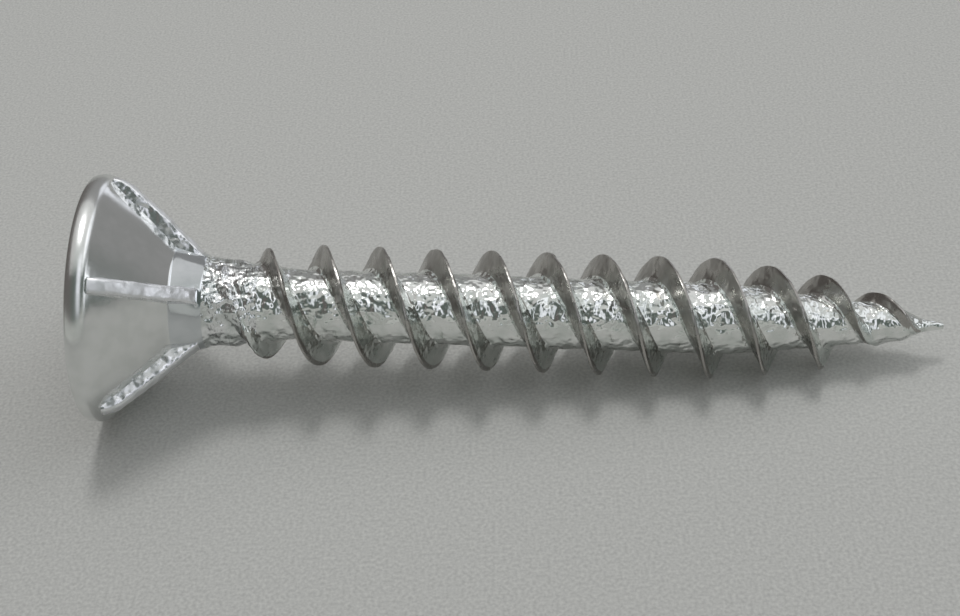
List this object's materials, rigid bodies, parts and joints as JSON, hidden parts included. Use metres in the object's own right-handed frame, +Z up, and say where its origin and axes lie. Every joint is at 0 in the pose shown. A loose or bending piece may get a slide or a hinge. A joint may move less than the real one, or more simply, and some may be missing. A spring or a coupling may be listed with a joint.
{
  "type": "fiber cement screw",
  "caption": "Flat-head screw with ribs under the head, a cross recess, a smooth neck, a coarse double-start right-hand thread and a gimlet point, for fixing fiber cement board.",
  "frame": {"origin": "on the floor under the middle of the lying screw", "axes": "+X from the head towards the tip, +Z up; the screw lies on the lower edge of its rim and on a thread crest, so its axis slopes down a little towards the tip"},
  "size_m": [0.032, 0.0092, 0.0092],
  "materials": {
    "zinc_plated_steel": "bright zinc plate, slightly uneven on the rolled neck and thread"
  },
  "bodies": {
    "root": {"screw": "zinc_plated_steel"}
  },
  "joints": []
}
